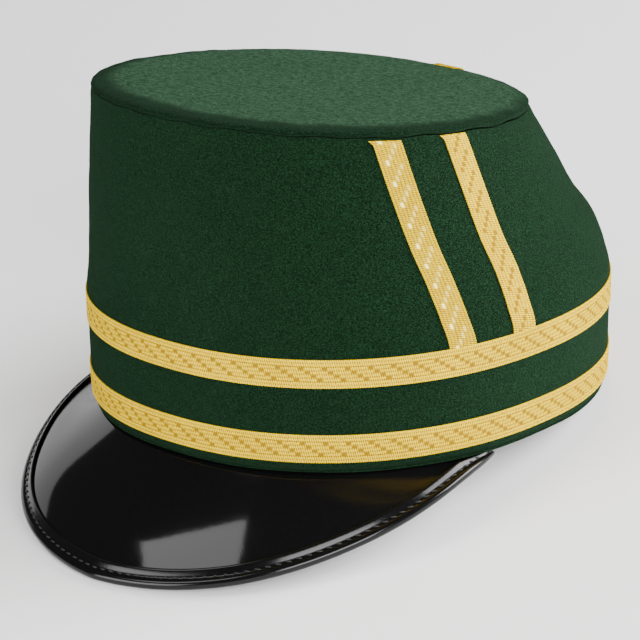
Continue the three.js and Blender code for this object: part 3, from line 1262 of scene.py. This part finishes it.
@dataclass
class Nap:
    """Loose wool fibres that stand up from the felt."""

    form: FeltForm
    frame: CapFrame
    braid: Braid
    lip: Lip = Lip()
    wool: FeltFinish = FeltFinish("wool_fibres", deep=(0.004, 0.013, 0.006), pale=(0.028, 0.075, 0.038))
    wall_count: int = 24000
    top_count: int = 9000
    shortest: float = 0.45
    longest: float = 1.15
    radius: float = 0.045
    sunk: float = 0.2
    least_rise_deg: float = 8.0
    most_rise_deg: float = 50.0
    margin: float = 0.5
    seed: int = 31

    def _clear_of_braid(self, turn: Array, level: Array) -> Array:
        """Tells which places on the wall lie clear of every band and stripe.

        Args:
            turn: angle of each place.
            level: level of each place.

        Returns:
            True for each place that is clear.
        """
        width = self.braid.weave.width
        clear = np.ones(turn.shape, bool)
        for start in (self.braid.lower_from, self.braid.upper_from):
            clear &= (level < start - self.margin) | (level > start + width + self.margin)
        for row in STRIPE_ROWS:
            away = np.mod(turn - self.braid.middle_turn(row, level) + math.pi, FULL_TURN) - math.pi
            clear &= np.abs(away) * self.form.side[-1] > width / 2 + self.margin
        return clear

    def _wall(self, rng: np.random.Generator) -> tuple[Array, Array]:
        """Draws places on the wall, evenly by angle and level.

        Args:
            rng: source of the random draws.

        Returns:
            Roots just below the felt and outward directions.
        """
        turn = rng.uniform(-math.pi, math.pi, self.wall_count)
        level = rng.uniform(self.form.rim + self.form.wall / 2, self.form.seam, self.wall_count)
        clear = self._clear_of_braid(turn, level)
        normal = self.form.normal(turn[clear], level[clear])
        return self.form.face(turn[clear], level[clear]) - normal * self.sunk, normal

    def _top(self, rng: np.random.Generator) -> tuple[Array, Array]:
        """Draws places on the top, over its turned edge too, evenly by area.

        Args:
            rng: source of the random draws.

        Returns:
            Roots just below the felt and outward directions.
        """
        middle, upward = self.form.top_frame()
        turn = rng.uniform(-math.pi, math.pi, self.top_count)
        edge = self.form.face(turn, np.full_like(turn, self.form.seam))
        length = np.linalg.norm(middle - edge, axis=-1, keepdims=True)
        toward = (middle - edge) / length
        travel = (1 - np.sqrt(rng.uniform(0, 1, self.top_count))) * length[:, 0]
        inward, height = self.lip.after(travel)
        inward = np.maximum(inward, travel - self.lip.up[-1])
        flat = ease(inward, 0, self.lip.inward[-2])[:, None]
        normal = unit(upward * flat - toward * (1 - flat))
        root = edge + toward * inward[:, None] + upward * height[:, None]
        return root - normal * self.sunk, normal

    def build(self) -> bpy.types.Object:
        """Builds the fibres: each a slim needle on three sides, leaning any way along the felt.

        Returns:
            The fibres.
        """
        rng = np.random.default_rng(self.seed)
        wall, wall_out = self._wall(rng)
        top, top_out = self._top(rng)
        root = np.concatenate([wall, top])
        outward = np.concatenate([wall_out, top_out])
        count = len(root)
        flat = unit(np.cross(outward, rng.normal(size=(count, 3))))
        rise = np.radians(rng.uniform(self.least_rise_deg, self.most_rise_deg, (count, 1)))
        lean = flat * np.cos(rise) + outward * np.sin(rise)
        side = unit(np.cross(lean, outward))
        above = np.cross(side, lean)
        length = rng.uniform(self.shortest, self.longest, (count, 1))
        corner = (np.arange(NEEDLE_SIDES) / NEEDLE_SIDES * FULL_TURN)[None, :, None]
        foot = side[:, None] * np.cos(corner) + above[:, None] * np.sin(corner)
        tip = (root + lean * length)[:, None]
        needles = np.concatenate([root[:, None] + foot * self.radius, tip], axis=1)
        shell = Shell(self.frame)
        shell.facets(needles, NEEDLE_FACES)
        return shell.build("felt_nap")

    def dress(self) -> None:
        """Builds the fibres and dresses them in wool."""
        dress_piece(self.build(), self.wool.make())


@dataclass
class Peak:
    """The peak, its binding and the stitches through the binding."""

    form: FeltForm
    frame: CapFrame
    patent: PatentFinish = PatentFinish("black_patent")
    bound: PatentFinish = PatentFinish("black_binding", roughness=0.13, swell_strength=0.3)
    thread: PatentFinish = PatentFinish("black_thread", roughness=0.45, worn=(0.02, 0.02, 0.021))
    thick: float = 1.6
    half_turn_deg: float = 79.0
    arc_centre: float = 40.0
    arc_turn: tuple[float, ...] = (0, 30, 60, 85, 103)
    arc_reach: tuple[float, ...] = (99.9, 97.2, 92.6, 90.4, 89.3)
    drop: float = 0.331
    drop_from: float = 39.0
    drop_ease: float = 6.0
    end_level: float = -6.3
    end_dip: float = 0.15
    dip_power: int = 6
    end_lift: float = 0.3
    end_tuck: float = 1.2
    end_thin: float = 0.6
    end_run: int = 8
    gap: float = 0.3
    flange_gap: float = 0.9
    flange_height: float = 7.0
    along: int = 300
    crowding: float = 0.12
    edge_step: float = 0.02
    run_rows: int = 44
    bow: float = 1.4
    bow_span: float = 1.3
    bow_scale: float = 6.75
    bow_fade: float = 0.8
    bow_fade_more: float = 0.6
    fade_from: float = 0.25
    fade_full: float = 0.7
    swell: float = 0.06
    swell_pitch: float = 30.0
    swell_seed: int = 21
    dull_from: float = 0.35
    dull_full: float = 0.8
    binding_width: float = 6.2
    binding_share: float = 0.72
    binding_off: float = 1.9
    binding_end_thin: float = 0.5
    bind_inward: tuple[float, ...] = (
        5.8, 5.75, 5.5, 5.0, 4.4, 3.8, 3.2, 2.7, 2.2, 1.8, 1.4, 0.8, 0.1, -0.6, -1.2, -1.65, -1.9, -1.8,
        -1.3, -0.5, 0.5, 2.0, 4.0, 5.7, 5.8, 4.0, 2.0, 0.4, -0.6, -1.0, -0.6, 0.4, 2.0, 4.0,
    )
    bind_up: tuple[float, ...] = (
        0.98, 1.18, 1.42, 1.57, 1.48, 1.35, 1.21, 1.09, 1.03, 1.12, 1.37, 1.7, 1.86, 1.75, 1.4, 0.85, 0.1,
        -0.7, -1.4, -1.8, -1.9, -1.9, -1.9, -1.85, -1.15, -1.1, -1.1, -1.1, -0.8, 0.0, 0.8, 0.88, 0.88,
        0.88,
    )
    bind_points: int = 96
    bind_least_step: float = 0.05
    stitch_inward: float = 2.2
    stitch_up: float = 1.22
    stitch_pitch: float = 3.7
    stitch_half: float = 1.15
    stitch_radius: float = 0.4
    stitch_taper: float = 0.97
    stitch_samples: int = 2000
    stitch_rings: int = 7
    stitch_sides: int = 8
    end_margin: float = 0.93

    def run_out(self, share: Array) -> Array:
        """Gives how far the peak has run out: 0 along most of it and 1 at its ends."""
        return np.abs(share) ** self.end_run

    def _half_thick(self, share: Array) -> Array:
        """Gives half the sheet's thickness, less where the peak runs out."""
        return self.thick / 2 * (1 - self.end_thin * self.run_out(share))

    def _bind_scale(self, share: Array) -> Array:
        """Gives the binding's height as a share of its full height."""
        thin = 1 - self.binding_end_thin * self.run_out(share)
        return (self.gap + (self.binding_off - self.gap) * thin) / self.binding_off

    def edge(self, share: Array) -> Array:
        """Gives the outer edge at a share of the half span.

        Seen from above it turns about the arc's centre with a reach from the table. Its height falls in
        proportion to how far forward it is, easing out to level at the ends, where it draws in under the
        rim.

        Args:
            share: from -1 at the wearer's right to 1 at the left.

        Returns:
            Points with three numbers on the last axis.
        """
        turn = np.abs(share) * self.arc_turn[-1]
        out = self.run_out(share)
        reach = smooth_run(np.array(self.arc_turn, float), np.array(self.arc_reach), turn)
        reach = reach - self.end_tuck * out
        x = self.arc_centre + reach * np.cos(np.radians(turn))
        y = np.sign(share) * reach * np.sin(np.radians(turn))
        fall = self.drop_ease * np.logaddexp(0, (x - self.drop_from) / self.drop_ease)
        return np.stack([x, y, self.end_level + self.end_lift * out - self.drop * fall], axis=-1)

    def root(self, share: Array) -> Array:
        """Gives the line where the sheet passes below the felt rim.

        Args:
            share: place along the peak, from -1 to 1.

        Returns:
            Points with three numbers on the last axis.
        """
        half = self.form.wall / 2
        turn = np.radians(share * self.half_turn_deg)
        inside = -half - self.end_tuck * self.run_out(share)
        points = self.form.off(turn, np.full_like(turn, self.form.rim + half), inside)
        dip = self.end_dip * np.abs(share) ** self.dip_power
        points[..., 2] = self.form.rim - self.gap - self._half_thick(share) - dip
        return points

    def lines(self, share: Array) -> tuple[Array, Array, Array, Array, Array]:
        """Gives the straight lines across the sheet.

        Args:
            share: place along the peak, from -1 to 1.

        Returns:
            Point on the edge, point at the root, direction inward, direction of the upper side and length.
        """
        edge = self.edge(share)
        root = self.root(share)
        length = np.linalg.norm(root - edge, axis=-1)
        inward = (root - edge) / length[:, None]
        ahead = self.edge(np.minimum(share + self.edge_step, 1))
        along = ahead - self.edge(np.maximum(share - self.edge_step, -1))
        return edge, root, inward, unit(np.cross(along, inward)), length

    def _bow_height(self, share: Array, length: Array, inward: Array) -> Array:
        """Gives how far the sheet bows up, less where the peak runs out.

        The bow rises from the edge and flattens toward the root, more so to both sides of the peak: the
        share of the way in, times what is left of it, times a factor that fades with that share. The scale
        brings the highest value of that product to about 1.

        Args:
            share: place along the peak, from -1 to 1.
            length: length of the line across the sheet there, in millimetres.
            inward: share of the way in along that line.

        Returns:
            Height in millimetres.
        """
        most = self.bow * self.bow_scale * np.minimum(length / self.longest * self.bow_span, 1)
        fade = self.bow_fade + self.bow_fade_more * ease(np.abs(share), self.fade_from, self.fade_full)
        return most * inward * (1 - inward) * (1 - fade * inward)

    def edge_frame(self, share: Array) -> tuple[Array, Array, Array, Array]:
        """Gives the frame of the bowed sheet at its edge: the lines' frame turned by the bow's slope there.

        Args:
            share: place along the peak, from -1 to 1.

        Returns:
            Point on the edge, direction inward, direction of the upper side and length of the line.
        """
        edge, _, inward, normal, length = self.lines(share)
        slope = (self.bow * self.bow_scale * np.minimum(self.bow_span / self.longest, 1 / length))[:, None]
        return edge, unit(inward + normal * slope), unit(normal - inward * slope), length

    @property
    def longest(self) -> float:
        """Length of the longest line across the sheet."""
        *_, length = self.lines(self._shares())
        return float(length.max())

    def _shares(self) -> Array:
        """Gives the places of the sections along the peak, closer together toward the ends."""
        even = np.linspace(-1, 1, self.along)
        return even + self.crowding * np.sin(math.pi * even)

    def build_sheet(self) -> bpy.types.Object:
        """Builds the sheet: a run from the outer edge to the rim and a flange turned up inside.

        The run goes straight from edge to root, bowed up between them and with a faint swell. The upper and
        lower grids lie half a thickness off it. The sheet is marked as duller toward its ends.

        Returns:
            The sheet.
        """
        share = self._shares()
        edge, root, _, normal, length = self.lines(share)
        u = np.linspace(0, 1, self.run_rows)[None, :, None]
        middle = edge[:, None] + (root - edge)[:, None] * u
        bow = self._bow_height(share[:, None, None], length[:, None, None], u)
        swell = self.swell * uneven(middle, self.swell_pitch, self.swell_seed)[..., None]
        wave = swell * np.sin(math.pi * u)
        run = middle + normal[:, None] * (bow + wave)
        half = self._half_thick(share)
        rise = normal[:, None] * half[:, None, None]
        upper = self._with_flange(share, run + rise, root, half)
        lower = self._with_flange(share, run - rise, root, -half)
        shell = Shell(self.frame)
        top = shell.grid(upper)
        under = shell.grid(lower[:, ::-1])[:, ::-1]
        shell.join(under[:, 0], top[:, 0])
        shell.join(top[:, -1], under[:, -1])
        shell.join(top[0], under[0])
        shell.join(under[-1], top[-1])
        dull = ease(np.abs(share), self.dull_from, self.dull_full)
        dull = np.repeat(dull[:, None], upper.shape[1], axis=1)
        return shell.build("peak_sheet", {"dull": np.stack([dull, dull])})

    def _with_flange(self, share: Array, run: Array, root: Array, off: Array) -> Array:
        """Adds the rows of the flange to one side of the run.

        Args:
            share: place of each section along the peak, from -1 to 1.
            run: points of that side from edge to root.
            root: the root's points, midway through the sheet.
            off: distance of that side from the middle of the sheet, in millimetres.

        Returns:
            The run's points with the flange's foot and head after them.
        """
        form = self.form
        inside = -form.wall - self.flange_gap - self.thick / 2 + off
        turn = np.radians(share * self.half_turn_deg)
        heights = np.stack([root[:, 2] + off, np.full_like(share, form.rim + self.flange_height)], axis=1)
        levels = np.maximum(heights, form.rim + form.wall / 2)
        flange = form.off(turn[:, None], levels, inside[:, None] * np.ones_like(levels))
        flange[..., 2] = heights
        return np.concatenate([run, flange], axis=1)

    def _bind_profile(self) -> tuple[Array, Array]:
        """Gives the binding's section: its table joined by smooth curves and read at even steps.

        Returns:
            Distances inward from the edge and up from the middle of the sheet.
        """
        inward = np.array([*self.bind_inward, self.bind_inward[0]])
        up = np.array([*self.bind_up, self.bind_up[0]])
        steps = np.hypot(np.diff(inward), np.diff(up))
        knots = np.concatenate([[0.0], np.cumsum(np.maximum(steps, self.bind_least_step))])
        at = np.linspace(0, knots[-1], self.bind_points, endpoint=False)
        return smooth_run(knots, inward, at), smooth_run(knots, up, at)

    def build_binding(self) -> bpy.types.Object:
        """Builds the binding: its section carried along the outer edge, narrower where the peak runs out.

        Returns:
            The binding.
        """
        share = self._shares()
        edge, inward, normal, length = self.edge_frame(share)
        across, up = self._bind_profile()
        width = np.minimum(self.binding_width, length * self.binding_share) / self.binding_width
        low = self._bind_scale(share)[:, None]
        scaled = np.where(across > 0, across * width[:, None], across * low)
        points = edge[:, None] + inward[:, None] * scaled[..., None]
        points = points + normal[:, None] * (up * low)[..., None]
        shell = Shell(self.frame)
        index = shell.grid(points, close_columns=True)
        shell.cap(index[0][::-1])
        shell.cap(index[-1])
        return shell.build("edge_binding")

    def _stitch_line(self, share: Array) -> tuple[Array, Array]:
        """Gives the line of the stitches, along the binding's groove.

        Args:
            share: place along the peak, from -1 to 1.

        Returns:
            Points of the line, and at each the directions along the edge, inward and up.
        """
        edge, inward, normal, _ = self.edge_frame(share)
        up = (self.stitch_up * self._bind_scale(share))[:, None]
        axes = np.stack([unit(np.cross(inward, normal)), inward, normal], axis=1)
        return edge + inward * self.stitch_inward + normal * up, axes

    def build_stitches(self) -> bpy.types.Object:
        """Builds the stitches: short rounded bars at equal steps along the binding's stitch groove.

        One stitch is a tube whose radius follows half an ellipse from end to end, laid along the edge.

        Returns:
            The stitches.
        """
        dense = np.linspace(-self.end_margin, self.end_margin, self.stitch_samples)
        lengths = lengths_along(self._stitch_line(dense)[0])
        count = round(lengths[-1] / self.stitch_pitch)
        centre, axes = self._stitch_line(np.interp(np.linspace(0, lengths[-1], count), lengths, dense))
        ring = np.linspace(-1, 1, self.stitch_rings)[:, None]
        angle = np.arange(self.stitch_sides)[None] / self.stitch_sides * FULL_TURN
        radius = self.stitch_radius * np.sqrt(np.clip(1 - (ring * self.stitch_taper) ** 2, 0, 1))
        length = ring * self.stitch_half + 0 * angle
        body = np.stack([length, radius * np.cos(angle), radius * np.sin(angle)], axis=-1).reshape(-1, 3)
        points = centre[:, None] + np.einsum("pk,nkd->npd", body, axes)
        index = np.arange(len(body)).reshape(self.stitch_rings, self.stitch_sides)
        shell = Shell(self.frame)
        shell.facets(points, quads(np.concatenate([index, index[:, :1]], axis=1)))
        return shell.build("binding_stitches")

    def dress(self) -> None:
        """Builds the sheet, its binding and the stitches and dresses each in its own black."""
        dress_piece(self.build_sheet(), self.patent.make(), ("peak",))
        dress_piece(self.build_binding(), self.bound.make(), ("peak_binding",))
        dress_piece(self.build_stitches(), self.thread.make())


def turned_to(facing: Vector, roll_deg: float) -> Matrix:
    """Gives the turn of a lamp or camera that looks back along a direction.

    Args:
        facing: direction of length one from what it looks at to itself.
        roll_deg: roll about that direction, in degrees.

    Returns:
        A matrix whose columns are the directions right, up and facing.
    """
    level = Vector((-facing.y, facing.x, 0.0)).normalized()
    roll = math.radians(roll_deg)
    right = level * math.cos(roll) + facing.cross(level) * math.sin(roll)
    return Matrix((right, facing.cross(right), facing)).transposed().to_4x4()


@dataclass(frozen=True)
class Softbox:
    """A flat rectangular lamp, placed by direction from the cap and turned to face it."""

    name: str
    toward: tuple[float, float, float]
    distance: float
    width: float
    height: float
    power: float
    roll_deg: float = 0.0

    def build(self, target: Vector) -> None:
        """Builds the lamp.

        Args:
            target: the point it faces, in metres.
        """
        data = bpy.data.lights.new(self.name, "AREA")
        data.shape = "RECTANGLE"
        data.size = self.width
        data.size_y = self.height
        data.energy = self.power
        lamp = bpy.data.objects.new(self.name, data)
        facing = Vector(self.toward).normalized()
        place = Matrix.Translation(target + facing * self.distance)
        lamp.matrix_world = place @ turned_to(facing, self.roll_deg)
        bpy.context.scene.collection.objects.link(lamp)


@dataclass
class Studio:
    """Pale floor, soft light and the camera."""

    target: tuple[float, float, float] = (-0.004674, 0.010478, 0.043467)
    azimuth_deg: float = 43.719
    elevation_deg: float = 25.159
    roll_deg: float = -6.604
    distance: float = 1.4
    sensor: float = 36.0
    lens: float = 208.46
    floor_half: float = 8.0
    floor_points: int = 9
    floor_drop: float = 0.0002
    sky: Colour = (1.0, 1.0, 1.0)
    sky_strength: float = 0.1
    boxes: tuple[Softbox, ...] = (
        Softbox("overhead_softbox", (-0.276, -0.372, 0.886), 1.5, 0.62, 0.64, 8.8, 66.0),
        Softbox("left_rear_panel", (-0.92, 0.34, 0.22), 2.2, 2.0, 1.02, 10.8),
        Softbox("right_rear_softbox", (0.62, 0.68, 0.46), 1.6, 1.2, 0.9, 70.0),
        Softbox("front_right_softbox", (0.84, -0.42, 0.36), 1.9, 1.2, 1.0, 62.0),
        Softbox("front_left_softbox", (-0.25, -0.92, 0.30), 1.9, 1.2, 1.0, 40.0),
    )

    def build_floor(self) -> None:
        """Builds the floor: a flat grid just below the cap."""
        side = np.linspace(-self.floor_half, self.floor_half, self.floor_points)
        x, y = np.meshgrid(side, side)
        points = np.stack([x, y, np.full_like(x, -self.floor_drop)], axis=-1).reshape(-1, 3)
        faces = quads(np.arange(x.size).reshape(x.shape))
        mesh = bpy.data.meshes.new("floor")
        mesh.from_pydata(points.tolist(), [], faces.tolist())
        floor = bpy.data.objects.new("floor", mesh)
        bpy.context.scene.collection.objects.link(floor)
        floor.data.materials.append(FloorFinish().make())

    def build_light(self) -> None:
        """Builds the even sky and the softboxes."""
        world = bpy.data.worlds.new("studio")
        world.use_nodes = True
        backdrop = world.node_tree.nodes["Background"]
        backdrop.inputs["Color"].default_value = opaque(self.sky)
        backdrop.inputs["Strength"].default_value = self.sky_strength
        bpy.context.scene.world = world
        for box in self.boxes:
            box.build(Vector(self.target))

    def build_camera(self) -> None:
        """Builds the camera at the photograph's angle, rolled so that the crown stands upright in it."""
        turn = math.radians(self.azimuth_deg)
        lift = math.radians(self.elevation_deg)
        back = Vector((math.sin(turn) * math.cos(lift), -math.cos(turn) * math.cos(lift), math.sin(lift)))
        data = bpy.data.cameras.new("camera")
        data.sensor_width = self.sensor
        data.lens = self.lens
        camera = bpy.data.objects.new("camera", data)
        place = Matrix.Translation(Vector(self.target) + back * self.distance)
        camera.matrix_world = place @ turned_to(back, self.roll_deg)
        bpy.context.scene.collection.objects.link(camera)
        bpy.context.scene.camera = camera


def main() -> None:
    """Builds the cap, piece by piece, and the studio round it."""
    logging.basicConfig(level=logging.INFO, format="%(message)s")
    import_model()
    form = FeltForm()
    frame = CapFrame()
    braid = Braid(form, frame)
    for assembly in (Crown(form, frame), braid, Nap(form, frame, braid), Peak(form, frame)):
        assembly.dress()
    studio = Studio()
    studio.build_floor()
    studio.build_light()
    studio.build_camera()


if __name__ == "__main__":
    main()
